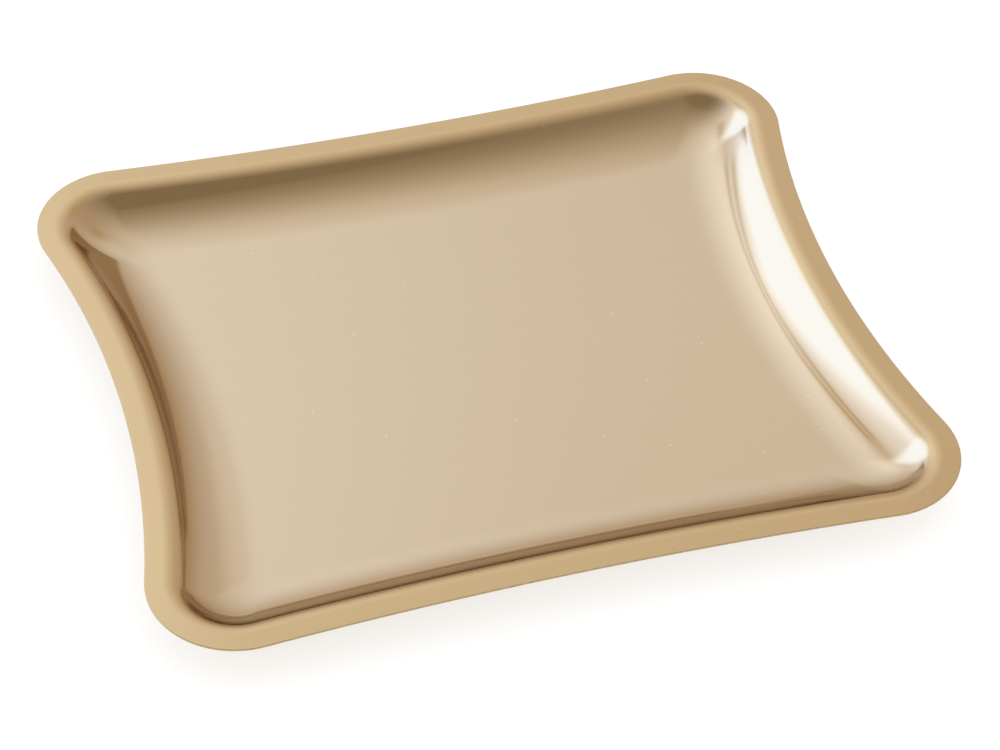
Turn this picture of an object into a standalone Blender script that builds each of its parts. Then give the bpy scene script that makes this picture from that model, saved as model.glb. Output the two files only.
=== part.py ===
"""Pressed metal tray: a pincushion outline, a narrow flange, a sloping wall and a flat floor on four feet.

Metres, +Z up. The origin is on the surface that the tray stands on, under the tray's centre.
+X runs along the long way of the tray, and -Y points to its front.
"""
import math

import bmesh
import bpy
import numpy as np

# Outline of the cut edge: four hollow sides, one arc each, joined by rounded corners
WAIST_LENGTH = 0.2800
WAIST_WIDTH = 0.2480
LONG_SIDE_RADIUS = 1.6800
SHORT_SIDE_RADIUS = 0.3670
CORNER_RADIUS = 0.0323

# The sheet and its pressed profile, from the cut edge down to the floor
SHEET_THICKNESS = 0.0008
FLANGE_WIDTH = 0.0063
FLANGE_DROOP = math.radians(4.2)
SHOULDER_RADIUS = 0.0080
SHOULDER_EASE = 0.0008
WALL_ANGLE = math.radians(48.0)
FLOOR_FILLET_RADIUS = 0.0335
FLOOR_EASE = 0.0068
DEPTH = 0.0146
FLOOR_CORNER_RADIUS = 0.0065
FLOOR_CORNER_BLEND = 0.0290

# The stick-on feet
FOOT_DIAMETER = 0.0100
FOOT_SOLE_DIAMETER = 0.0060
FOOT_HEIGHT = 0.0025
FOOT_RIM_HEIGHT = 0.0008
FOOT_MARGIN = 0.0060
SEAT_GAP = 0.0003

# Steps along each arc and bend of the faceted solids
LONG_SIDE_STEPS = 5
SHORT_SIDE_STEPS = 6
SIDE_TURN_STEPS = 2
CORNER_STEPS = 9
BACK_TURN_STEPS = 1
SHOULDER_STEPS = 7
FILLET_STEPS = 10
SLOPE_SUBSTEPS = 40
FOOT_SIDES = 24
FOOT_DOME_STEPS = 4

QUARTER_TURN = math.pi / 2
SHARP_ANGLE = math.radians(30)

# Heights that follow from the sizes above
FLOOR_UNDERSIDE_Z = FOOT_HEIGHT + SEAT_GAP
CREST_Z = FLOOR_UNDERSIDE_Z + SHEET_THICKNESS + DEPTH

# Centres of the arcs of the right side and of the back side
SHORT_CENTRE = (WAIST_LENGTH / 2 + SHORT_SIDE_RADIUS, 0)
LONG_CENTRE = (0, WAIST_WIDTH / 2 + LONG_SIDE_RADIUS)


def clear_scene():
    """Remove every object, so that the file holds the tray alone."""
    for old in list(bpy.data.objects):
        bpy.data.objects.remove(old, do_unlink=True)


def principled(name, colour, roughness, metallic):
    """A Principled material of one colour."""
    material = bpy.data.materials.new(name)
    material.use_nodes = True
    shader = material.node_tree.nodes["Principled BSDF"]
    shader.inputs["Base Color"].default_value = (*colour, 1.0)
    shader.inputs["Roughness"].default_value = roughness
    shader.inputs["Metallic"].default_value = metallic
    return material


def smooth_max(first, second, blend):
    """The larger of two lengths, with a parabola over the blend where they pass each other."""
    lead = first - second
    if abs(lead) >= blend / 2:
        return max(first, second)
    return second + (lead + blend / 2) ** 2 / (2 * blend)


def meeting_point(long_reach, short_reach):
    """The point at these distances from the centres of the back side's and the right side's arcs."""
    apart = math.hypot(SHORT_CENTRE[0], LONG_CENTRE[1])
    along = (long_reach ** 2 - short_reach ** 2 + apart ** 2) / (2 * apart)
    aside = math.sqrt(long_reach ** 2 - along ** 2)
    unit_x = SHORT_CENTRE[0] / apart
    unit_y = -LONG_CENTRE[1] / apart
    return along * unit_x + aside * unit_y, LONG_CENTRE[1] + along * unit_y - aside * unit_x


def arc(centre, radius, start, end, steps):
    """Points along an arc, without its last one."""
    angles = [start + (end - start) * step / steps for step in range(steps)]
    return [(centre[0] + radius * math.cos(angle), centre[1] + radius * math.sin(angle))
            for angle in angles]


def quarter_ring(inset):
    """Points from the middle of the right side, round the corner, to the middle of the back side."""
    radius = smooth_max(CORNER_RADIUS - inset, FLOOR_CORNER_RADIUS, FLOOR_CORNER_BLEND)
    short_radius = SHORT_SIDE_RADIUS + inset
    long_radius = LONG_SIDE_RADIUS + inset
    corner = meeting_point(long_radius + radius, short_radius + radius)
    side_turn = math.atan2(corner[1], SHORT_CENTRE[0] - corner[0])
    back_turn = math.atan2(corner[0], LONG_CENTRE[1] - corner[1])
    points = arc(SHORT_CENTRE, short_radius, math.pi, math.pi - side_turn, SHORT_SIDE_STEPS)
    points += arc(corner, radius, -side_turn, 0, SIDE_TURN_STEPS)
    points += arc(corner, radius, 0, QUARTER_TURN, CORNER_STEPS)
    points += arc(corner, radius, QUARTER_TURN, QUARTER_TURN + back_turn, BACK_TURN_STEPS)
    points += arc(LONG_CENTRE, long_radius, back_turn - QUARTER_TURN, -QUARTER_TURN, LONG_SIDE_STEPS)
    return points + [(0, LONG_CENTRE[1] - long_radius)]


def outline_ring(inset, height):
    """The closed anticlockwise ring this far inside the cut edge, from one quarter and its mirrors."""
    quarter = quarter_ring(inset)
    half = quarter + [(-x, y) for x, y in quarter[-2:0:-1]]
    whole = half + [(-x, -y) for x, y in half]
    return [(x, y, height) for x, y in whole]


def bend(start, end, radius, ease_in, ease_out, steps):
    """Step lengths and slopes of a bend whose curvature rises, holds at 1/radius and falls away."""
    total = radius * abs(end - start) + (ease_in + ease_out) / 2
    fine = np.linspace(0, total, steps * SLOPE_SUBSTEPS + 1)
    curvature = np.interp(fine, [0, ease_in, total - ease_out, total], [0, 1, 1, 0])
    turned = np.concatenate([[0], np.cumsum(curvature[1:] + curvature[:-1])])
    slopes = start + (end - start) * turned / turned[-1]
    return np.full(steps, total / steps), slopes[SLOPE_SUBSTEPS::SLOPE_SUBSTEPS]


def walk(lengths, slopes):
    """Insets and heights reached by walking each length on the mean slope of its two ends."""
    mean = (slopes[1:] + slopes[:-1]) / 2
    insets = np.concatenate([[0], np.cumsum(lengths * np.cos(mean))])
    heights = np.concatenate([[0], -np.cumsum(lengths * np.sin(mean))])
    return insets, heights


def sheet_profile():
    """Insets, heights and slopes of the sheet's upper face, from the cut edge to the flat floor."""
    shoulder_lengths, shoulder_slopes = bend(-FLANGE_DROOP, WALL_ANGLE, SHOULDER_RADIUS,
                                             SHOULDER_EASE, SHOULDER_EASE, SHOULDER_STEPS)
    fillet_lengths, fillet_slopes = bend(WALL_ANGLE, 0, FLOOR_FILLET_RADIUS,
                                         SHOULDER_EASE, FLOOR_EASE, FILLET_STEPS)
    slopes = np.concatenate([[-FLANGE_DROOP], shoulder_slopes, fillet_slopes])
    _, heights = walk(np.concatenate([shoulder_lengths, fillet_lengths]), slopes)
    bend_drop = heights.max() - heights[-1]
    # A shallow tray leaves no room for the full bends, so both are then drawn smaller alike
    bend_share = min(1, DEPTH / bend_drop)
    wall_length = max(0, DEPTH - bend_drop) / math.sin(WALL_ANGLE)
    lengths = np.concatenate([[FLANGE_WIDTH], shoulder_lengths * bend_share, [wall_length],
                              fillet_lengths * bend_share])
    slopes = np.concatenate([[-FLANGE_DROOP, -FLANGE_DROOP], shoulder_slopes, [WALL_ANGLE],
                             fillet_slopes])
    stays = np.concatenate([[True], lengths > 0])
    insets, heights = walk(lengths[stays[1:]], slopes[stays])
    return insets, heights + CREST_Z - heights.max(), slopes[stays]


def stacked_mesh(name, rings, material):
    """A closed mesh from rings of points, from the underside's first ring out and up to the last."""
    build = bmesh.new()
    loops = [[build.verts.new(point) for point in ring] for ring in rings]
    for lower, upper in zip(loops, loops[1:]):
        for index, vertex in enumerate(lower):
            following = (index + 1) % len(lower)
            build.faces.new((vertex, lower[following], upper[following], upper[index]))
    build.faces.new(loops[0][::-1])
    build.faces.new(loops[-1])
    mesh = bpy.data.meshes.new(name)
    build.to_mesh(mesh)
    build.free()
    mesh.materials.append(material)
    mesh.shade_smooth()
    mesh.set_sharp_from_angle(angle=SHARP_ANGLE)
    return mesh


def place(name, mesh, location, parent):
    """An object with this mesh, at its place under the tray's empty."""
    item = bpy.data.objects.new(name, mesh)
    bpy.context.scene.collection.objects.link(item)
    item.location = location
    item.parent = parent
    return item


def tray_rings():
    """Rings of the sheet: its underside from the floor out to the cut edge, then its upper face back."""
    insets, heights, slopes = sheet_profile()
    under_insets = insets - SHEET_THICKNESS * np.sin(slopes)
    under_heights = heights - SHEET_THICKNESS * np.cos(slopes)
    under = [outline_ring(inset, height) for inset, height in zip(under_insets, under_heights)]
    upper = [outline_ring(inset, height) for inset, height in zip(insets, heights)]
    return under[::-1] + upper


def foot_rings():
    """Rings of one foot: a flat sole, a domed side and a straight rim up to its stuck face."""
    growth = (FOOT_DIAMETER - FOOT_SOLE_DIAMETER) / 2
    dome_height = FOOT_HEIGHT - FOOT_RIM_HEIGHT
    rises = [QUARTER_TURN * step / FOOT_DOME_STEPS for step in range(FOOT_DOME_STEPS + 1)]
    levels = [(FOOT_SOLE_DIAMETER / 2 + growth * math.sin(rise), dome_height * (1 - math.cos(rise)))
              for rise in rises]
    levels.append((FOOT_DIAMETER / 2, FOOT_HEIGHT))
    return [[(x, y, height) for x, y in arc((0, 0), radius, 0, 4 * QUARTER_TURN, FOOT_SIDES)]
            for radius, height in levels]


def main():
    clear_scene()
    champagne_metal = principled("champagne_metal", (0.68, 0.55, 0.37), 0.15, 1.0)
    clear_rubber = principled("foot_rubber", (0.55, 0.54, 0.52), 0.45, 0.0)
    tray = bpy.data.objects.new("tray", None)
    bpy.context.scene.collection.objects.link(tray)

    place("tray_body", stacked_mesh("tray_body", tray_rings(), champagne_metal), (0, 0, 0), tray)

    floor_inset = sheet_profile()[0][-1]
    foot_inset = floor_inset + FOOT_MARGIN + FOOT_DIAMETER / 2
    foot_x, foot_y = meeting_point(LONG_SIDE_RADIUS + foot_inset, SHORT_SIDE_RADIUS + foot_inset)
    foot_mesh = stacked_mesh("foot", foot_rings(), clear_rubber)
    for row, y in (("front", -foot_y), ("rear", foot_y)):
        for side, x in (("left", -foot_x), ("right", foot_x)):
            place(f"foot_{row}_{side}", foot_mesh, (x, y, 0), tray)


main()
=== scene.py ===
# %% [markdown]
# # A pressed metal tray
#
# The real tray is one sheet of gold-tone metal, blanked and pressed in one stroke. Its outline has four
# hollow sides and rounded corners. From the cut edge inwards come a narrow flange, a rounded shoulder,
# a sloping wall, a wide soft fillet and the flat floor. Polished metal shows the room around it, so
# three things make the picture: a very even surface, the finish of the metal, and the studio.
#
# First comes the imported model.

import math

import bpy
import numpy as np
from mathutils import Matrix


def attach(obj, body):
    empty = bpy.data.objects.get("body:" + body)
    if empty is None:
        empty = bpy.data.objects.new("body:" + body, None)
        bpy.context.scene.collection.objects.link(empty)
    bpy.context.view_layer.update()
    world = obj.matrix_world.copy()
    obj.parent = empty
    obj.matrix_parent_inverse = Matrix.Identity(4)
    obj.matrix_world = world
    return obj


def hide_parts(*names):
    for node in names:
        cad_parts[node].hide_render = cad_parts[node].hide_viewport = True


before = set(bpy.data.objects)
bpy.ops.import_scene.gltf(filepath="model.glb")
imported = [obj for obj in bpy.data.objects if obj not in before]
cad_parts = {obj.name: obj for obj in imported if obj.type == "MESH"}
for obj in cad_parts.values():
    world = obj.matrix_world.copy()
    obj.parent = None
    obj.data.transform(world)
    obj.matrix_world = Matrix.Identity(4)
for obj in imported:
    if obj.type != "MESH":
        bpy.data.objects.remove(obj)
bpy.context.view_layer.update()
scene = bpy.context.scene
scene.view_settings.view_transform = "Standard"
print("CAD nodes:", sorted(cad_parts))

# %% [markdown]
# ## The camera
#
# The photograph was taken from in front, a little to the left, looking down at the tray with a long
# lens. Four corners and four curved sides are enough to find such a camera: its direction, its tilt,
# its distance and its focal length are the values below. The aim says how far from the middle of the
# tray's rim the lens points, to the right and up in the picture.

# %% Place the camera
PICTURE_WIDTH_PX = 1000
FOCAL_LENGTH_PX = 3269
SENSOR_WIDTH_MM = 36
CAMERA_AZIMUTH = math.radians(-18.59)
CAMERA_ELEVATION = math.radians(44.55)
CAMERA_ROLL = math.radians(2.48)
CAMERA_DISTANCE = 1.2337
AIM_RIGHT = 0.0055
AIM_UP = -0.0153
RIM_EDGE_HEIGHT = 0.0177


def camera_axes(azimuth, elevation, roll):
    """The camera's right, up and back directions: back points from the tray to the camera, and roll turns
    right towards up."""
    back = np.array([math.sin(azimuth) * math.cos(elevation), -math.cos(azimuth) * math.cos(elevation),
                     math.sin(elevation)])
    level = np.array([math.cos(azimuth), math.sin(azimuth), 0.0])
    upright = np.cross(back, level)
    right = math.cos(roll) * level + math.sin(roll) * upright
    return right, np.cross(back, right), back


right, up, back = camera_axes(CAMERA_AZIMUTH, CAMERA_ELEVATION, CAMERA_ROLL)
aim = np.array([0.0, 0.0, RIM_EDGE_HEIGHT]) + AIM_RIGHT * right + AIM_UP * up
camera_place = aim + CAMERA_DISTANCE * back
camera_turn = Matrix(np.column_stack([right, up, back])).to_4x4()
camera_data = bpy.data.cameras.new("camera")
camera_data.sensor_width = SENSOR_WIDTH_MM
camera_data.lens = FOCAL_LENGTH_PX / PICTURE_WIDTH_PX * SENSOR_WIDTH_MM
camera = bpy.data.objects.new("camera", camera_data)
camera.matrix_world = Matrix.Translation(camera_place) @ camera_turn
scene.collection.objects.link(camera)
scene.camera = camera
print("Camera at", camera_place.round(3), "with a lens of", round(camera_data.lens, 1), "mm")

# %% [markdown]
# ## Helpers for materials
#
# Colours are written as they look on a screen, in sRGB hex, and one function turns them into the linear
# values that Blender calculates with. One more function adds any shader node, with its settings and the
# links into its sockets.

# %% Colours and nodes


def linear(hex_colour):
    """Linear red, green and blue of an sRGB colour: c / 12.92 up to 0.04045, and ((c + 0.055) / 1.055) ^ 2.4
    above it."""
    shown = np.array([int(hex_colour[start:start + 2], 16) for start in (1, 3, 5)]) / 255
    return np.where(shown <= 0.04045, shown / 12.92, ((shown + 0.055) / 1.055) ** 2.4)


def add_node(tree, kind, inputs=(), **settings):
    """A node of this kind. Settings are its own properties. Inputs pairs each socket with a value or a socket
    of another node, which is then linked."""
    node = tree.nodes.new(kind)
    for name, value in settings.items():
        setattr(node, name, value)
    for socket, value in dict(inputs).items():
        if isinstance(value, bpy.types.NodeSocket):
            tree.links.new(value, node.inputs[socket])
        else:
            node.inputs[socket].default_value = value
    return node


def new_material(name):
    """An empty node material and its output node."""
    material = bpy.data.materials.new(name)
    material.use_nodes = True
    material.node_tree.nodes.clear()
    return material, add_node(material.node_tree, "ShaderNodeOutputMaterial")


def rgba(hex_colour):
    """A linear colour with full alpha, as a colour socket takes it."""
    return (*linear(hex_colour), 1.0)


print("Champagne gold #D7C4A4 in linear values:", linear("#D7C4A4").round(3))

# %% [markdown]
# ## The outline and everything parallel to it
#
# The outline could be drawn by hand as a curve, but then each line inside it would be a new drawing.
# Here every line round the tray is worked out for its distance from the cut edge, the inset. The hollow
# sides are arcs, and an inset makes their radius larger by as much. The corner arc touches both sides,
# and its radius falls with the inset until it settles at the corner radius of the floor.
#
# One quarter is worked out, from the middle of the right side to the middle of the back side, and the
# other three are its mirror images.

# %% The rings round the tray
WAIST_LENGTH = 0.2800
WAIST_WIDTH = 0.2480
LONG_SIDE_RADIUS = 1.6800
SHORT_SIDE_RADIUS = 0.3670
CORNER_RADIUS = 0.0323
FLOOR_CORNER_RADIUS = 0.0065
FLOOR_CORNER_BLEND = 0.0290
SHORT_SIDE_STEPS = 30
CORNER_STEPS = 60
LONG_SIDE_STEPS = 20
SHORT_CENTRE_X = WAIST_LENGTH / 2 + SHORT_SIDE_RADIUS
LONG_CENTRE_Y = WAIST_WIDTH / 2 + LONG_SIDE_RADIUS


def smooth_max(first, second, blend):
    """The larger of two lengths. Where they are nearer than half the blend, the parabola
    second + (first - second + blend / 2)^2 / (2 blend) joins them without a corner."""
    lead = first - second
    eased = second + (lead + blend / 2) ** 2 / (2 * blend)
    return np.where(np.abs(lead) >= blend / 2, np.maximum(first, second), eased)


def meeting_point(long_reach, short_reach):
    """The point at these distances from the two arcs' centres: along the line between the centres by
    (long^2 - short^2 + apart^2) / (2 apart), and square to it by what Pythagoras leaves."""
    apart = math.hypot(SHORT_CENTRE_X, LONG_CENTRE_Y)
    along = (long_reach ** 2 - short_reach ** 2 + apart ** 2) / (2 * apart)
    aside = np.sqrt(long_reach ** 2 - along ** 2)
    unit_x, unit_y = SHORT_CENTRE_X / apart, -LONG_CENTRE_Y / apart
    return along * unit_x + aside * unit_y, LONG_CENTRE_Y + along * unit_y - aside * unit_x


def arc(centre_x, centre_y, radius, start, end, steps):
    """Points centre + radius (cos a, sin a) for steps even angles a from start, without the end. Each input
    has one row per ring."""
    angles = start + (end - start) * np.arange(steps) / steps
    return np.stack([centre_x + radius * np.cos(angles), centre_y + radius * np.sin(angles)], axis=-1)


def rings(insets, heights):
    """Closed anticlockwise rings, one per inset and height, as an array of ring by point by (x, y, z)."""
    inset = np.asarray(insets)[:, None]
    radius = smooth_max(CORNER_RADIUS - inset, FLOOR_CORNER_RADIUS, FLOOR_CORNER_BLEND)
    short_radius = SHORT_SIDE_RADIUS + inset
    long_radius = LONG_SIDE_RADIUS + inset
    corner_x, corner_y = meeting_point(long_radius + radius, short_radius + radius)
    side_turn = np.arctan2(corner_y, SHORT_CENTRE_X - corner_x)
    back_turn = np.arctan2(corner_x, LONG_CENTRE_Y - corner_y)
    quarter = np.concatenate([
        arc(SHORT_CENTRE_X, 0, short_radius, math.pi, math.pi - side_turn, SHORT_SIDE_STEPS),
        arc(corner_x, corner_y, radius, -side_turn, math.pi / 2 + back_turn, CORNER_STEPS),
        arc(0, LONG_CENTRE_Y, long_radius, back_turn - math.pi / 2, -math.pi / 2, LONG_SIDE_STEPS),
        np.stack([0 * inset, LONG_CENTRE_Y - long_radius], axis=-1)], axis=1)
    half = np.concatenate([quarter, quarter[:, -2:0:-1] * (-1, 1)], axis=1)
    whole = np.concatenate([half, -half], axis=1)
    level = np.broadcast_to(np.asarray(heights)[:, None, None], (*whole.shape[:2], 1))
    return np.concatenate([whole, level], axis=2)


outline = rings([0.0], [RIM_EDGE_HEIGHT])[0]
print("Outline:", len(outline), "points,", (1000 * np.ptp(outline, axis=0)[:2]).round(1), "mm")

# %% [markdown]
# ## The pressed profile
#
# A cut through the rim shows how the sheet was pressed. It could be drawn with arcs, but where an arc
# meets a straight line the mirror image in polished metal breaks, and the eye sees it at once. On the
# real tray each bend starts and ends gently. So the profile is given by its curvature: it rises in a
# straight ramp, holds while the sheet bends round its radius, and falls away again. Summed up once along
# the sheet it gives the slope, and summed up twice the place.

# %% The profile from the cut edge to the floor
SHEET_THICKNESS = 0.0008
FLANGE_WIDTH = 0.0063
FLANGE_DROOP = math.radians(4.2)
SHOULDER_RADIUS = 0.0080
SHOULDER_EASE = 0.0008
WALL_ANGLE = math.radians(48.0)
FLOOR_FILLET_RADIUS = 0.0335
FLOOR_EASE = 0.0068
DEPTH = 0.0146
FOOT_HEIGHT = 0.0025
SEAT_GAP = 0.0003
PROFILE_SAMPLES = 4000
FLOOR_UNDERSIDE_Z = FOOT_HEIGHT + SEAT_GAP
FLOOR_Z = FLOOR_UNDERSIDE_Z + SHEET_THICKNESS


def bend_length(turn, radius, ease_in, ease_out):
    """Length of sheet in a bend: radius times turn, and half of each ease more."""
    return radius * turn + (ease_in + ease_out) / 2


def running_sum(values, travel):
    """Area under the values along the travel, by trapezoids, from zero."""
    return np.concatenate([[0], np.cumsum((values[1:] + values[:-1]) / 2 * np.diff(travel))])


def sheet_profile(wall_length):
    """Travel, inset, height and slope of the sheet's upper face. The curvature over the travel is a chain of
    straight ramps: zero on the flange, up to 1 / shoulder radius and back, zero on the wall, down to
    -1 / fillet radius and back. Slope is its sum, and inset and height sum cos and -sin of the slope."""
    shoulder = bend_length(WALL_ANGLE + FLANGE_DROOP, SHOULDER_RADIUS, SHOULDER_EASE, SHOULDER_EASE)
    fillet = bend_length(WALL_ANGLE, FLOOR_FILLET_RADIUS, SHOULDER_EASE, FLOOR_EASE)
    stops = np.cumsum([0, FLANGE_WIDTH, SHOULDER_EASE, shoulder - 2 * SHOULDER_EASE, SHOULDER_EASE,
                       wall_length, SHOULDER_EASE, fillet - SHOULDER_EASE - FLOOR_EASE, FLOOR_EASE])
    bends = [0, 0, 1 / SHOULDER_RADIUS, 1 / SHOULDER_RADIUS, 0, 0, -1 / FLOOR_FILLET_RADIUS,
             -1 / FLOOR_FILLET_RADIUS, 0]
    travel = np.linspace(0, stops[-1], PROFILE_SAMPLES)
    slope = running_sum(np.interp(travel, stops, bends), travel) - FLANGE_DROOP
    return travel, running_sum(np.cos(slope), travel), running_sum(-np.sin(slope), travel), slope


_, _, falls, _ = sheet_profile(0.0)
wall_length = (DEPTH - (falls.max() - falls[-1])) / math.sin(WALL_ANGLE)
travel, inset, height, slope = sheet_profile(wall_length)
height = height - height[-1] + FLOOR_Z
print("Straight wall:", round(1000 * wall_length, 2), "mm long; the floor starts", round(1000 * inset[-1], 1),
      "mm inside the cut edge and", round(1000 * (height.max() - FLOOR_Z), 1), "mm below the crest")

# %% [markdown]
# ## The sheet as one closed surface
#
# A Solidify modifier could give the sheet its thickness. Here the underside is worked out instead: it
# lies one thickness below the upper face, square to it, so the cut edge can be rounded as shears leave
# it. The section then runs in one line from the middle of the underside out to the cut edge, round it,
# and back over the upper face to the middle of the floor. Carried round the rings, it closes by itself.

# %% Sections into rings
EDGE_ROUNDING = 0.00018
EDGE_STEPS = 5
UPPER_STEPS = 112
UNDER_STEPS = 56
# Further rings fill the flat floor and its underside, at these shares of the last ring's size
FLOOR_SHARES = np.array([0.82, 0.6, 0.36, 0.14])


def edge_section():
    """Insets and heights round the cut edge, from the underside up: two quarter circles of the rounding, each
    centre + rounding (along cos a + square sin a), in the directions along and square to the flange."""
    outwards = np.array([-math.cos(FLANGE_DROOP), -math.sin(FLANGE_DROOP)])
    upwards = np.array([-math.sin(FLANGE_DROOP), math.cos(FLANGE_DROOP)])
    turn = np.linspace(0, math.pi / 2, EDGE_STEPS)[:, None]
    top = np.array([inset[0], height[0]]) - EDGE_ROUNDING * (outwards + upwards)
    foot = top - (SHEET_THICKNESS - 2 * EDGE_ROUNDING) * upwards
    lower = foot + EDGE_ROUNDING * (outwards * np.sin(turn) - upwards * np.cos(turn))
    upper = top + EDGE_ROUNDING * (outwards * np.cos(turn) + upwards * np.sin(turn))
    return np.concatenate([lower, upper]).T


def sampled(steps):
    """Insets, heights and slopes at even steps of travel, from just inside the rounded edge to the floor."""
    stations = np.linspace(EDGE_ROUNDING, travel[-1], steps + 1)[1:]
    return [np.interp(stations, travel, values) for values in (inset, height, slope)]


upper_inset, upper_height, _ = sampled(UPPER_STEPS)
under_inset, under_height, under_slope = sampled(UNDER_STEPS)
under_inset = under_inset - SHEET_THICKNESS * np.sin(under_slope)
under_height = under_height - SHEET_THICKNESS * np.cos(under_slope)
edge_inset, edge_height = edge_section()
section_inset = np.concatenate([under_inset[::-1], edge_inset, upper_inset])
section_height = np.concatenate([under_height[::-1], edge_height, upper_height])
walls = rings(section_inset, section_height)
shrink = FLOOR_SHARES[:, None, None] * (1, 1, 0) + (0, 0, 1)
sheet_rings = np.concatenate([(walls[0] * shrink)[::-1], walls, walls[-1] * shrink])
print("Sheet:", sheet_rings.shape[0], "rings of", sheet_rings.shape[1], "points")

# %% [markdown]
# ## From rings to a mesh
#
# A mesh needs its points, and the corners of each face. On a grid of rings both follow from counting, so
# whole arrays go into the mesh at once. The first and the last ring close onto a point in their middle.
# Rings that run anticlockwise, outwards below and inwards above, give faces that point out of the metal.

# %% Closed surfaces


def closed_surface(name, grid, bands, materials):
    """A smooth closed mesh. Face (row, column) joins its point to the next one on the ring and to the same
    two on the next ring. Bands gives each row of faces its material's number."""
    rows, around = grid.shape[:2]
    here = np.arange(rows * around).reshape(rows, around)
    beside = np.roll(here, -1, axis=1)
    quads = np.stack([here[:-1], beside[:-1], beside[1:], here[1:]], axis=-1)
    pole = np.full(around, rows * around)
    first_fan = np.stack([beside[0], here[0], pole], axis=-1)
    last_fan = np.stack([here[-1], beside[-1], pole + 1], axis=-1)
    points = np.concatenate([grid.reshape(-1, 3), grid[[0, -1]].mean(axis=1)])
    corners = np.concatenate([quads.ravel(), first_fan.ravel(), last_fan.ravel()])
    sizes = np.repeat([4, 3], [(rows - 1) * around, 2 * around])
    numbers = np.repeat([*bands, bands[0], bands[-1]], around)
    mesh = bpy.data.meshes.new(name)
    mesh.vertices.add(len(points))
    mesh.vertices.foreach_set("co", points.astype(np.float32).ravel())
    mesh.loops.add(len(corners))
    mesh.loops.foreach_set("vertex_index", corners.astype(np.int32))
    mesh.polygons.add(len(sizes))
    mesh.polygons.foreach_set("loop_start", (np.cumsum(sizes) - sizes).astype(np.int32))
    mesh.polygons.foreach_set("material_index", numbers.astype(np.int32))
    for material in materials:
        mesh.materials.append(material)
    mesh.update(calc_edges=True)
    mesh.shade_smooth()
    return mesh


def add_piece(name, mesh, replaced):
    """An object at the origin that rides on the tray, keeps the finishes of its mesh and stands for the CAD
    node, which it hides."""
    piece = bpy.data.objects.new(name, mesh)
    scene.collection.objects.link(piece)
    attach(piece, "root")
    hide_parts(replaced)
    print(name, "has", len(mesh.polygons), "faces")


print("The sheet's rings make", sheet_rings[1:, :, 0].size, "faces with four corners")

# %% [markdown]
# ## The metal
#
# Gold-tone aluminium is anodised: the metal is brushed and polished, and a thin clear oxide layer takes
# up the dye. A metal has no colour of its own below the shine, so its base colour tints what it mirrors.
# The well is polished almost like a mirror. The rim has a softer satin shine and shows more of the dye.
# Fine brush lines, soft stains, a slight waviness of the pressed sheet and specks of dust come from noise
# on Object coordinates.

# %% Three finishes of one metal
MILLIMETRE = 0.001
# Noise mostly stays between these values
NOISE_LOW, NOISE_HIGH = 0.3, 0.7
BRUSH_LENGTH = 70 * MILLIMETRE
# Real brush lines lie 0.05 to 0.1 mm apart, which is finer than a pixel, so they are drawn coarser
BRUSH_PITCH = 0.7 * MILLIMETRE
BRUSH_DETAIL = 3.0
BRUSH_LOW, BRUSH_HIGH = 0.35, 0.65
BRUSH_SHARE = 0.03
BRUSH_BUMP = 0.01
BRUSH_RELIEF = 0.1 * MILLIMETRE
STAIN_SIZE = 45 * MILLIMETRE
STAIN_DETAIL = 2.0
STAIN_ROUGHNESS = 0.01
WAVE_LENGTH = 60 * MILLIMETRE
WAVE_WIDTH = 40 * MILLIMETRE
WAVE_DETAIL = 0.0
WAVE_BUMP = 0.15
WAVE_RELIEF = 0.2 * MILLIMETRE
SPECK_SPACING = 26 * MILLIMETRE
SPECK_RADIUS = 0.4 * MILLIMETRE
SPECK_CORE = 0.4
SPECK_CHANCE = 0.35
RIM_BLEND = 3 * MILLIMETRE
FLOOR_ROUGHNESS = 0.10
RIM_ROUGHNESS = 0.33
# In the photograph the highlights of the two right corners have softer edges than those of the left ones.
# Glare in the lens may be the cause, but here a duller finish does it
CORNER_DULLING = 0.10
CORNER_X, CORNER_Y = 0.122, 0.097
CORNER_DULL_RADIUS = 8 * MILLIMETRE
CORNER_CLEAR_RADIUS = 22 * MILLIMETRE
FLOOR_TINT = "#CBB8A0"
RIM_TINT = "#C9B08A"
BRUSH_COLOUR = "#A88F66"
SPECK_COLOUR = "#E2D8C8"
# Seen at a low angle, light passes further through the dyed oxide layer, which takes more of it away
GRAZING_TINT = "#EBE7E0"
PLAIN_DETAIL = 4.0
PLAIN_UNEVENNESS = 0.05
PLAIN_BUMP = 0.15
PLAIN_RELIEF = 0.05 * MILLIMETRE
UNDER_ROUGHNESS = 0.32
CUT_ROUGHNESS = 0.45
CUT_GRAIN_LENGTH = 2.4 * MILLIMETRE
CUT_GRAIN_WIDTH = 0.4 * MILLIMETRE


def stretched_noise(tree, along, across, detail):
    """Noise whose grains are along metres long in x and across metres wide in y and z."""
    where = add_node(tree, "ShaderNodeTexCoord").outputs["Object"]
    scaled = add_node(tree, "ShaderNodeVectorMath", {0: where, 1: (1 / along, 1 / across, 1 / across)},
                      operation="MULTIPLY").outputs[0]
    return add_node(tree, "ShaderNodeTexNoise", {"Vector": scaled, "Scale": 1.0,
                    "Detail": detail}).outputs["Fac"]


def ranged(tree, value, low, high, to_low, to_high, smooth=False):
    """The value taken from low..high to to_low..to_high, in a straight or an S-shaped line."""
    kind = "SMOOTHSTEP" if smooth else "LINEAR"
    return add_node(tree, "ShaderNodeMapRange", {"Value": value, "From Min": low, "From Max": high,
                    "To Min": to_low, "To Max": to_high}, interpolation_type=kind).outputs["Result"]


def mixed(tree, factor, first, second):
    """Two colours mixed by the factor. Inputs 6 and 7 of this node are its colours, and so is output 2."""
    return add_node(tree, "ShaderNodeMix", {0: factor, 6: first, 7: second}, data_type="RGBA").outputs[2]


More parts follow.
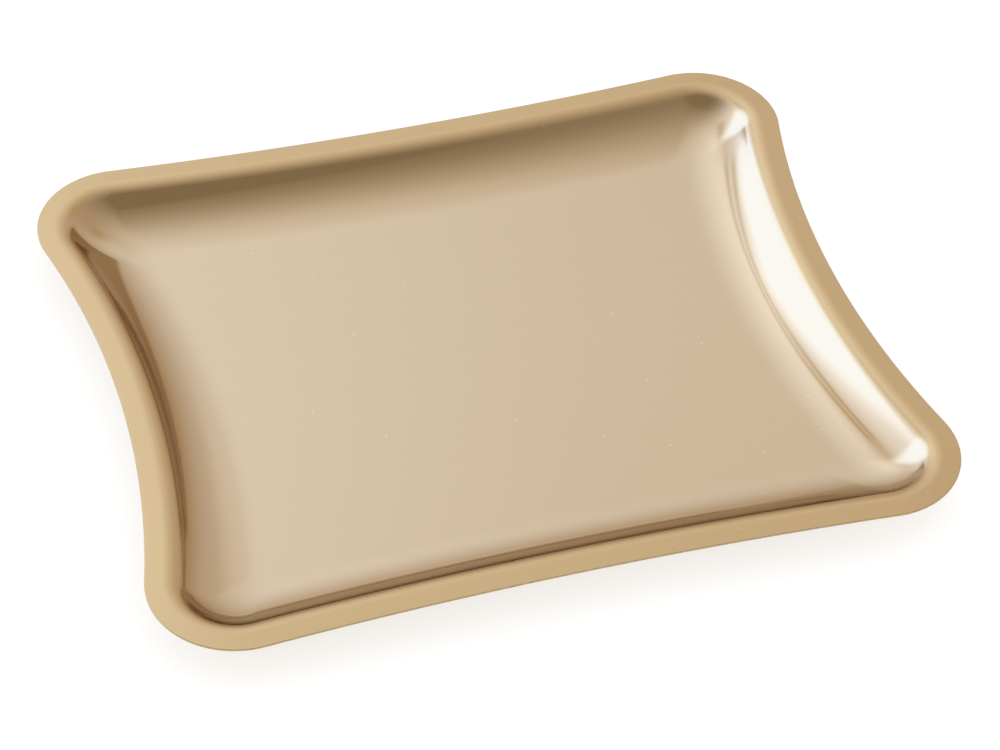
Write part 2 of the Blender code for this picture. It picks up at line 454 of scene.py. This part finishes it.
def mixed_value(tree, factor, first, second):
    """Two numbers mixed by the factor."""
    return add_node(tree, "ShaderNodeMapRange", {"Value": factor, "To Min": first,
                    "To Max": second}).outputs["Result"]


def specks(tree, spacing, radius, chance):
    """1 inside small round specks, in this share of the cells of this spacing, and 0 outside."""
    where = add_node(tree, "ShaderNodeTexCoord").outputs["Object"]
    cells = add_node(tree, "ShaderNodeTexVoronoi", {"Vector": where, "Scale": 1 / spacing},
                     voronoi_dimensions="2D")
    reach = radius / spacing
    inside = ranged(tree, cells.outputs["Distance"], SPECK_CORE * reach, reach, 1, 0, True)
    draw = add_node(tree, "ShaderNodeSeparateColor", {"Color": cells.outputs["Color"]}).outputs[0]
    chosen = add_node(tree, "ShaderNodeMath", {0: draw, 1: chance}, operation="LESS_THAN").outputs[0]
    return add_node(tree, "ShaderNodeMath", {0: inside, 1: chosen}, operation="MULTIPLY").outputs[0]


def dull_corners(tree, where):
    """1 in the two right corners and 0 away from them, by the distance in plan from each corner's middle."""
    x, y, _ = add_node(tree, "ShaderNodeSeparateXYZ", {0: where}).outputs
    aside = add_node(tree, "ShaderNodeMath", {0: y}, operation="ABSOLUTE").outputs[0]
    plan = add_node(tree, "ShaderNodeCombineXYZ", {"X": x, "Y": aside}).outputs[0]
    distance = add_node(tree, "ShaderNodeVectorMath", {0: plan, 1: (CORNER_X, CORNER_Y, 0)},
                        operation="DISTANCE").outputs["Value"]
    return ranged(tree, distance, CORNER_DULL_RADIUS, CORNER_CLEAR_RADIUS, 1, 0, True)


def polished_metal():
    """Champagne anodised aluminium: brushed and polished in the well, satin on the rim."""
    material, output = new_material("champagne_anodised_aluminium_polished")
    tree = material.node_tree
    brush = stretched_noise(tree, BRUSH_LENGTH, BRUSH_PITCH, BRUSH_DETAIL)
    stain = stretched_noise(tree, STAIN_SIZE, STAIN_SIZE, STAIN_DETAIL)
    waves = stretched_noise(tree, WAVE_LENGTH, WAVE_WIDTH, WAVE_DETAIL)
    where = add_node(tree, "ShaderNodeTexCoord").outputs["Object"]
    level = add_node(tree, "ShaderNodeSeparateXYZ", {0: where}).outputs["Z"]
    rim = ranged(tree, level, height.max() - RIM_BLEND, height.max(), 0, 1, True)
    tint = mixed(tree, rim, rgba(FLOOR_TINT), rgba(RIM_TINT))
    lines = ranged(tree, brush, BRUSH_LOW, BRUSH_HIGH, 0, BRUSH_SHARE)
    brushing = add_node(tree, "ShaderNodeMath", {0: lines, 1: mixed_value(tree, rim, 1, 0)},
                        operation="MULTIPLY").outputs[0]
    brushed = mixed(tree, brushing, tint, rgba(BRUSH_COLOUR))
    dust = specks(tree, SPECK_SPACING, SPECK_RADIUS, SPECK_CHANCE)
    coloured = mixed(tree, dust, brushed, rgba(SPECK_COLOUR))
    uneven = ranged(tree, stain, NOISE_LOW, NOISE_HIGH, -STAIN_ROUGHNESS, STAIN_ROUGHNESS)
    well = add_node(tree, "ShaderNodeMath", {0: dull_corners(tree, where), 1: CORNER_DULLING,
                    2: FLOOR_ROUGHNESS}, operation="MULTIPLY_ADD").outputs[0]
    roughness = add_node(tree, "ShaderNodeMath", {0: mixed_value(tree, rim, well, RIM_ROUGHNESS),
                         1: uneven}, operation="ADD").outputs[0]
    bump = add_node(tree, "ShaderNodeBump", {"Height": brush, "Distance": BRUSH_RELIEF,
                    "Strength": mixed_value(tree, rim, BRUSH_BUMP, 0)})
    waved = add_node(tree, "ShaderNodeBump", {"Height": waves, "Distance": WAVE_RELIEF,
                     "Strength": WAVE_BUMP, "Normal": bump.outputs[0]})
    shader = add_node(tree, "ShaderNodeBsdfPrincipled", {"Base Color": coloured, "Metallic": 1.0,
                      "Specular Tint": rgba(GRAZING_TINT), "Roughness": roughness,
                      "Normal": waved.outputs[0]})
    tree.links.new(shader.outputs[0], output.inputs[0])
    return material


def plain_metal(name, light_colour, dark_colour, roughness, length, width):
    """Unpolished metal: two near tints and a roughness that vary with noise of this grain length and
    width."""
    material, output = new_material(name)
    tree = material.node_tree
    noise = stretched_noise(tree, length, width, PLAIN_DETAIL)
    share = ranged(tree, noise, NOISE_LOW, NOISE_HIGH, 0, 1)
    colour = mixed(tree, share, rgba(light_colour), rgba(dark_colour))
    uneven = ranged(tree, noise, NOISE_LOW, NOISE_HIGH, roughness - PLAIN_UNEVENNESS,
                    roughness + PLAIN_UNEVENNESS)
    bump = add_node(tree, "ShaderNodeBump", {"Height": noise, "Strength": PLAIN_BUMP,
                    "Distance": PLAIN_RELIEF})
    shader = add_node(tree, "ShaderNodeBsdfPrincipled", {"Base Color": colour, "Metallic": 1.0,
                      "Roughness": uneven, "Normal": bump.outputs[0]})
    tree.links.new(shader.outputs[0], output.inputs[0])
    return material


# Polished: mirrors the studio clearly, tinted by the dye
upper_metal = polished_metal()
# Satin: the side that nobody sees keeps its brushing, so it shines softly and mirrors no images
under_metal = plain_metal("champagne_anodised_aluminium_satin", "#CAB491", "#C3AC87", UNDER_ROUGHNESS,
                          BRUSH_LENGTH, BRUSH_PITCH)
# Sheared: the cut leaves a rough edge that shines only dully
cut_metal = plain_metal("champagne_anodised_aluminium_sheared", "#CDB894", "#B09B78", CUT_ROUGHNESS,
                        CUT_GRAIN_LENGTH, CUT_GRAIN_WIDTH)
print("Metals:", upper_metal.name, under_metal.name, cut_metal.name)

# %% [markdown]
# ## The tray
#
# One mesh carries all three finishes. Its faces lie in rows from the middle of the underside, round the
# cut edge, to the middle of the floor, so a finish needs only the numbers of its rows.

# %% The tray body
UNDER_ROWS = len(FLOOR_SHARES) + UNDER_STEPS - 1
EDGE_ROWS = 2 * EDGE_STEPS
sheet_bands = np.zeros(len(sheet_rings) - 1, int)
sheet_bands[:UNDER_ROWS] = 1
sheet_bands[UNDER_ROWS:UNDER_ROWS + EDGE_ROWS] = 2
sheet_mesh = closed_surface("tray_sheet", sheet_rings, sheet_bands, [upper_metal, under_metal, cut_metal])
add_piece("tray_sheet", sheet_mesh, "tray_body")

# %% [markdown]
# ## The feet
#
# Under the floor sit four stick-on bumpers of clear, slightly milky polyurethane. The photograph looks
# from above and hides them. Each is turned on one axis: a flat sole, a domed side, a short straight rim
# and, above it, the thin layer of adhesive that holds it to the metal.

# %% Stick-on bumpers
FOOT_DIAMETER = 0.0100
FOOT_SOLE_DIAMETER = 0.0060
FOOT_RIM_HEIGHT = 0.0008
FOOT_MARGIN = 0.0060
FOOT_ROUNDING = 0.0002
ADHESIVE_DIAMETER = 0.0092
# One more ring on the sole, at this share of its radius, keeps its shading flat
SOLE_CORE = 0.7
# The adhesive ends just below the metal, so that the two don't share a face
ADHESIVE_CLEARANCE = SEAT_GAP / 20
FOOT_SIDES = 72
DOME_STEPS = 12
PLASTIC_GRAIN = 2 * MILLIMETRE
PLASTIC_DETAIL = 3.0
PLASTIC_UNEVENNESS = 0.06
PLASTIC_BUMP = 0.1
PLASTIC_RELIEF = 0.1 * MILLIMETRE
PLASTIC_IOR = 1.5
PLASTIC_MILKINESS = 0.3
PLASTIC_SCATTER = (2 * MILLIMETRE, 2 * MILLIMETRE, 2 * MILLIMETRE)


def soft_plastic(name, light_colour, dark_colour, roughness):
    """Clear but milky plastic: light enters a little and scatters."""
    material, output = new_material(name)
    tree = material.node_tree
    noise = stretched_noise(tree, PLASTIC_GRAIN, PLASTIC_GRAIN, PLASTIC_DETAIL)
    share = ranged(tree, noise, NOISE_LOW, NOISE_HIGH, 0, 1)
    colour = mixed(tree, share, rgba(light_colour), rgba(dark_colour))
    uneven = ranged(tree, noise, NOISE_LOW, NOISE_HIGH, roughness - PLASTIC_UNEVENNESS,
                    roughness + PLASTIC_UNEVENNESS)
    bump = add_node(tree, "ShaderNodeBump", {"Height": noise, "Strength": PLASTIC_BUMP,
                    "Distance": PLASTIC_RELIEF})
    shader = add_node(tree, "ShaderNodeBsdfPrincipled", {"Base Color": colour, "Roughness": uneven,
                      "IOR": PLASTIC_IOR, "Subsurface Weight": PLASTIC_MILKINESS,
                      "Subsurface Radius": PLASTIC_SCATTER, "Normal": bump.outputs[0]})
    tree.links.new(shader.outputs[0], output.inputs[0])
    return material


def foot_section():
    """Radii and heights of a foot from its sole up: an ellipse quarter sole + growth sin a,
    dome (1 - cos a), a rounded rim, and the adhesive layer up to just below the metal."""
    turn = np.linspace(0, math.pi / 2, DOME_STEPS)
    sole, full, glue = FOOT_SOLE_DIAMETER / 2, FOOT_DIAMETER / 2, ADHESIVE_DIAMETER / 2
    dome = sole + (full - sole) * np.sin(turn)
    dome_levels = (FOOT_HEIGHT - FOOT_RIM_HEIGHT) * (1 - np.cos(turn))
    rim = full - FOOT_ROUNDING * (1 - np.cos(turn))
    rim_levels = FOOT_HEIGHT - FOOT_ROUNDING * (1 - np.sin(turn))
    glue_levels = [FOOT_HEIGHT, FLOOR_UNDERSIDE_Z - ADHESIVE_CLEARANCE]
    radii = np.concatenate([[SOLE_CORE * sole], dome, rim, [glue, glue]])
    return radii, np.concatenate([[0], dome_levels, rim_levels, glue_levels])


def turned(radii, levels, centre_x, centre_y):
    """Rings of a turned piece: centre + radius (cos a, sin a) at each level."""
    angles = np.arange(FOOT_SIDES) * 2 * math.pi / FOOT_SIDES
    flat = np.stack([np.cos(angles), np.sin(angles), 0 * angles], axis=-1)
    centres = np.stack([0 * levels + centre_x, 0 * levels + centre_y, levels], axis=-1)
    return radii[:, None, None] * flat + centres[:, None]


# Moulded polyurethane: smooth and rubbery, with a soft shine and a milky body
clear_rubber = soft_plastic("polyurethane_bumper_milky", "#D6D2CA", "#C9C4BB", 0.35)
# Acrylic adhesive: a thin film, paler and duller than the foot
adhesive = soft_plastic("acrylic_adhesive_film", "#E4E1DA", "#D8D4CB", 0.55)
radii, levels = foot_section()
foot_bands = np.zeros(len(radii) - 1, int)
foot_bands[-1] = 1
foot_inset = inset[-1] + FOOT_MARGIN + FOOT_DIAMETER / 2
foot_x, foot_y = meeting_point(LONG_SIDE_RADIUS + foot_inset, SHORT_SIDE_RADIUS + foot_inset)
for row, y in (("front", -foot_y), ("rear", foot_y)):
    for side, x in (("left", -foot_x), ("right", foot_x)):
        foot_rings = turned(radii, levels, x, y)
        mesh = closed_surface(f"bumper_{row}_{side}", foot_rings, foot_bands, [clear_rubber, adhesive])
        add_piece(f"bumper_{row}_{side}", mesh, f"foot_{row}_{side}")

# %% [markdown]
# ## A white floor in a white room
#
# The tray stands on matt white paper in a white room. The paper is a light grey that the camera sees
# glowing, so that it shows as white and still takes the tray's shadow. Seen from below it is clear, so
# that the underside can be looked at too.

# %% A floor and a room that show as white
FLOOR_REACH = 30.0
FLOOR_FRONT_SHARE = 0.7
# Faces in one plane flicker, so the paper lies a hair's breadth below the soles
FLOOR_GAP = 0.02 * MILLIMETRE
FLOOR_COLOUR = "#B4B4B4"
FLOOR_GLOW = 0.65


def stage_object(name, mesh, material):
    """An object of the studio, which isn't part of the tray."""
    item = bpy.data.objects.new(name, mesh)
    mesh.materials.append(material)
    scene.collection.objects.link(item)
    return item


def floor_material():
    """Matt white paper. For rays from the camera, a mirror or glass it also glows, so that it shows as
    white where nothing shades it. From below it is clear."""
    material, output = new_material("matt_white_paper")
    tree = material.node_tree
    path = add_node(tree, "ShaderNodeLightPath").outputs
    direct = add_node(tree, "ShaderNodeMath", {0: path["Is Camera Ray"], 1: path["Is Glossy Ray"]},
                      operation="MAXIMUM")
    seen = add_node(tree, "ShaderNodeMath", {0: direct.outputs[0], 1: path["Is Transmission Ray"]},
                    operation="MAXIMUM")
    glow = add_node(tree, "ShaderNodeMath", {0: seen.outputs[0], 1: FLOOR_GLOW}, operation="MULTIPLY")
    paper = add_node(tree, "ShaderNodeBsdfDiffuse", {"Color": rgba(FLOOR_COLOUR)})
    light = add_node(tree, "ShaderNodeEmission", {"Strength": glow.outputs[0]})
    both = add_node(tree, "ShaderNodeAddShader", {0: paper.outputs[0], 1: light.outputs[0]})
    clear = add_node(tree, "ShaderNodeBsdfTransparent")
    from_below = add_node(tree, "ShaderNodeNewGeometry").outputs["Backfacing"]
    shown = add_node(tree, "ShaderNodeMixShader", {0: from_below, 1: both.outputs[0], 2: clear.outputs[0]})
    tree.links.new(shown.outputs[0], output.inputs[0])
    material.cycles.emission_sampling = "NONE"
    return material


floor_mesh = bpy.data.meshes.new("floor")
# Off centre, so that the seam between the paper's two triangles doesn't run below the tray
floor_front = -FLOOR_FRONT_SHARE * FLOOR_REACH
floor_corners = [(x, y, -FLOOR_GAP) for x, y in ((-FLOOR_REACH, floor_front), (FLOOR_REACH, floor_front),
                                                 (FLOOR_REACH, FLOOR_REACH), (-FLOOR_REACH, FLOOR_REACH))]
floor_mesh.from_pydata(floor_corners, [], [(0, 1, 2, 3)])
stage_object("floor", floor_mesh, floor_material())
world = bpy.data.worlds.new("white_room")
scene.world = world
world.use_nodes = True
world.node_tree.nodes["Background"].inputs["Color"].default_value = (1, 1, 1, 1)
world.node_tree.nodes["Background"].inputs["Strength"].default_value = 1.0
print("Floor and room are white")

# %% [markdown]
# ## The tent of light
#
# Polished metal is photographed in a tent of white cloth, because it mirrors whatever stands round it.
# Lamps outside make the cloth glow: most at the back, less on the right, and one low at the front right.
# Behind the left side shines a large softbox. It stands a little tilted in a dark frame with two bars, and
# these give the bright band and the two thin lines on the tray's right wall. The front has the dim opening
# that the camera looks through.
#
# Separate cards and lamps could do the same, but each would show as an edge in the metal. So the tent is
# one dome, whose glow is a sum of soft patches, each a smooth step of the angle from its middle. Where
# they lie and how bright they are was worked back from what the metal in the photograph mirrors. Only the
# low lamp is added, so that the tray isn't dark from other sides. The camera and the matt surfaces don't
# see the dome. They see the white floor and the room.

# %% The glowing tent
TENT_RADIUS = 3.0
TENT_STEPS = 48
TENT_FOOT = math.radians(-2)
CLOTH_GLOW = (1.01, 0.95, 0.84)
DIMMEST_GLOW = (0.05, 0.05, 0.05)
# The brightest cloth leaves the metal a little below white, so that its grain stays visible
BRIGHTEST_GLOW = (1.63, 1.98, 2.54)
# Each patch: azimuth and elevation of its middle, and the angles at which it is full and gone, in degrees.
# Azimuth 0 is behind the tray and 90 on its right. Last comes what it adds to the glow.
PATCHES = {
    "dim front": (195, 8, 46, 107, (-0.60, -0.62, -0.62)),
    "shaded right side": (62, 21, 16, 73, (-0.35, -0.43, -0.49)),
    "lit back": (-25, -20, 9, 122, (0.76, 1.03, 1.35)),
    "dim floor behind the softbox": (-21, -52, 48, 106, (-0.84, -1.11, -1.41)),
    "tan screen above the softbox": (-44, 48, 4, 17, (-0.26, -0.36, -0.51)),
    "pale floor below the softbox": (-53, -11, 35, 51, (0.59, 0.78, 1.23)),
    "lamp low at the front right": (138, 3, 10, 27, (0.52, 0.52, 0.5)),
    "haze beside the softbox": (-23, 36, 4, 25, (0.13, 0.14, 0.17)),
    "gap on the right": (41, 42, 4, 16, (0.09, 0.09, 0.09)),
    "shade on the right": (62, 44, 3, 12, (-0.06, -0.07, -0.12)),
    "pale floor behind the tray": (14, -8, 5, 20, (0.16, 0.19, 0.26)),
    "opening for the camera": (215, 0, 65, 67, (-0.06, -0.05, -0.04)),
}
# The softbox's dark frame is a rounded box of angles in degrees. Its top and foot rise towards the left, by
# the tilt times the azimuth. Two bars run side by side along it.
FRAME_LEFT, FRAME_RIGHT = -110, -19.8
FRAME_FOOT, FRAME_TOP = -52, 38.2
FRAME_TILT = 0.3
FRAME_ROUNDING = 8
BAR_SPACING = 4.6
BAR_WIDTH = 4.6
BARS_LEFT = (-62, -50)
BAR_GLOW = (-0.45, -0.56, -0.74)
# Softbox: where its light is gone and full, as angles from the frame's edge and, on the left, as azimuths
SOFTBOX_EDGE = (0, -16)
SOFTBOX_LEFT = (-67, -34)
SOFTBOX_GLOW = (0.43, 0.74, 1.26)


def direction(azimuth, elevation):
    """The unit vector (sin a cos e, cos a cos e, sin e)."""
    a, e = math.radians(azimuth), math.radians(elevation)
    return math.sin(a) * math.cos(e), math.cos(a) * math.cos(e), math.sin(e)


def scaled_glow(tree, factor, glow, total):
    """The total plus the factor times the glow, as vectors."""
    part = add_node(tree, "ShaderNodeVectorMath", {0: factor, 1: glow}, operation="MULTIPLY")
    return add_node(tree, "ShaderNodeVectorMath", {0: total, 1: part.outputs[0]}, operation="ADD").outputs[0]


def over(tree, angle, low, high, rounding):
    """How far an angle passes the inner edge of a side between low and high:
    |angle - middle| - half + rounding."""
    middle = math.radians((low + high) / 2)
    half = math.radians((high - low) / 2 - rounding)
    shifted = add_node(tree, "ShaderNodeMath", {0: angle, 1: middle}, operation="SUBTRACT").outputs[0]
    aside = add_node(tree, "ShaderNodeMath", {0: shifted}, operation="ABSOLUTE").outputs[0]
    return add_node(tree, "ShaderNodeMath", {0: aside, 1: half}, operation="SUBTRACT").outputs[0]


def frame_distance(tree, azimuth, elevation):
    """The angle outside the frame's line, negative inside it. With u and v from each side's inner edge it
    is |(max(u, 0), max(v, 0))| + min(max(u, v), 0) - rounding, as for any rounded box."""
    level = add_node(tree, "ShaderNodeMath", {0: azimuth, 1: FRAME_TILT, 2: elevation},
                     operation="MULTIPLY_ADD").outputs[0]
    u = over(tree, azimuth, FRAME_LEFT, FRAME_RIGHT, FRAME_ROUNDING)
    v = over(tree, level, FRAME_FOOT, FRAME_TOP, FRAME_ROUNDING)
    both = add_node(tree, "ShaderNodeCombineXYZ", {"X": u, "Y": v}).outputs[0]
    outer = add_node(tree, "ShaderNodeVectorMath", {0: both, 1: (0, 0, 0)}, operation="MAXIMUM").outputs[0]
    length = add_node(tree, "ShaderNodeVectorMath", {0: outer}, operation="LENGTH").outputs["Value"]
    larger = add_node(tree, "ShaderNodeMath", {0: u, 1: v}, operation="MAXIMUM").outputs[0]
    inner = add_node(tree, "ShaderNodeMath", {0: larger, 1: 0.0}, operation="MINIMUM").outputs[0]
    total = add_node(tree, "ShaderNodeMath", {0: length, 1: inner}, operation="ADD").outputs[0]
    return add_node(tree, "ShaderNodeMath", {0: total, 1: math.radians(FRAME_ROUNDING)},
                    operation="SUBTRACT").outputs[0]


def faded(tree, angle, edge):
    """0 at the first angle of the edge and 1 at the second, with a smooth step between."""
    gone, full = (math.radians(end) for end in edge)
    if gone < full:
        return ranged(tree, angle, gone, full, 0, 1, True)
    return ranged(tree, angle, full, gone, 1, 0, True)


def bar_share(tree, azimuth, distance):
    """1 on the middle lines of the frame's two bars, 0 from half a bar's width on, and faded on their far
    left."""
    spacing, width = math.radians(BAR_SPACING), math.radians(BAR_WIDTH)
    aside = add_node(tree, "ShaderNodeMath", {0: distance}, operation="ABSOLUTE").outputs[0]
    beyond = add_node(tree, "ShaderNodeMath", {0: aside, 1: spacing / 2}, operation="SUBTRACT").outputs[0]
    from_bar = add_node(tree, "ShaderNodeMath", {0: beyond}, operation="ABSOLUTE").outputs[0]
    bars = ranged(tree, from_bar, 0, width / 2, 1, 0, True)
    return add_node(tree, "ShaderNodeMath", {0: bars, 1: faded(tree, azimuth, BARS_LEFT)},
                    operation="MULTIPLY").outputs[0]


def softbox_share(tree, azimuth, distance):
    """1 in the middle of the softbox and 0 outside: the product of what its edges leave."""
    return add_node(tree, "ShaderNodeMath", {0: faded(tree, distance, SOFTBOX_EDGE),
                    1: faded(tree, azimuth, SOFTBOX_LEFT)}, operation="MULTIPLY").outputs[0]


def patch_share(tree, towards, azimuth, elevation, full, gone):
    """1 up to the full angle from the patch's middle, 0 from the gone angle, and a smooth step between."""
    cosine = add_node(tree, "ShaderNodeVectorMath", {0: towards, 1: direction(azimuth, elevation)},
                      operation="DOT_PRODUCT").outputs["Value"]
    angle = add_node(tree, "ShaderNodeMath", {0: cosine}, operation="ARCCOSINE").outputs[0]
    return ranged(tree, angle, math.radians(full), math.radians(gone), 1, 0, True)


def tent_material():
    """White cloth that glows by its direction from the tray."""
    material, output = new_material("glowing_white_cloth")
    tree = material.node_tree
    where = add_node(tree, "ShaderNodeTexCoord").outputs["Object"]
    towards = add_node(tree, "ShaderNodeVectorMath", {0: where}, operation="NORMALIZE").outputs[0]
    x, y, z = add_node(tree, "ShaderNodeSeparateXYZ", {0: towards}).outputs
    azimuth = add_node(tree, "ShaderNodeMath", {0: x, 1: y}, operation="ARCTAN2").outputs[0]
    elevation = add_node(tree, "ShaderNodeMath", {0: z}, operation="ARCSINE").outputs[0]
    total = CLOTH_GLOW
    for *spread, glow in PATCHES.values():
        total = scaled_glow(tree, patch_share(tree, towards, *spread), glow, total)
    distance = frame_distance(tree, azimuth, elevation)
    total = scaled_glow(tree, softbox_share(tree, azimuth, distance), SOFTBOX_GLOW, total)
    total = scaled_glow(tree, bar_share(tree, azimuth, distance), BAR_GLOW, total)
    lit = add_node(tree, "ShaderNodeVectorMath", {0: total, 1: DIMMEST_GLOW}, operation="MAXIMUM")
    kept = add_node(tree, "ShaderNodeVectorMath", {0: lit.outputs[0], 1: BRIGHTEST_GLOW}, operation="MINIMUM")
    cloth = add_node(tree, "ShaderNodeEmission", {"Color": kept.outputs[0]})
    tree.links.new(cloth.outputs[0], output.inputs[0])
    material.cycles.emission_sampling = "NONE"
    return material


def dome_mesh(radius):
    """A dome of rings radius (cos e cos a, cos e sin a, sin e) from just below the floor up, so that the
    floor hides the disc which closes it."""
    rise = np.linspace(TENT_FOOT, math.pi / 2, TENT_STEPS)[:-1, None]
    angles = np.arange(2 * TENT_STEPS) * math.pi / TENT_STEPS
    grid = radius * np.stack([np.cos(rise) * np.cos(angles), np.cos(rise) * np.sin(angles),
                              np.sin(rise) + 0 * angles], axis=-1)
    return closed_surface("tent", grid, np.zeros(len(grid) - 1, int), [])


tent = stage_object("tent", dome_mesh(TENT_RADIUS), tent_material())
tent.visible_camera = False
tent.visible_diffuse = False
world.cycles.sampling_method = "NONE"
print("Tent of", len(tent.data.polygons), "faces with", len(PATCHES), "patches")
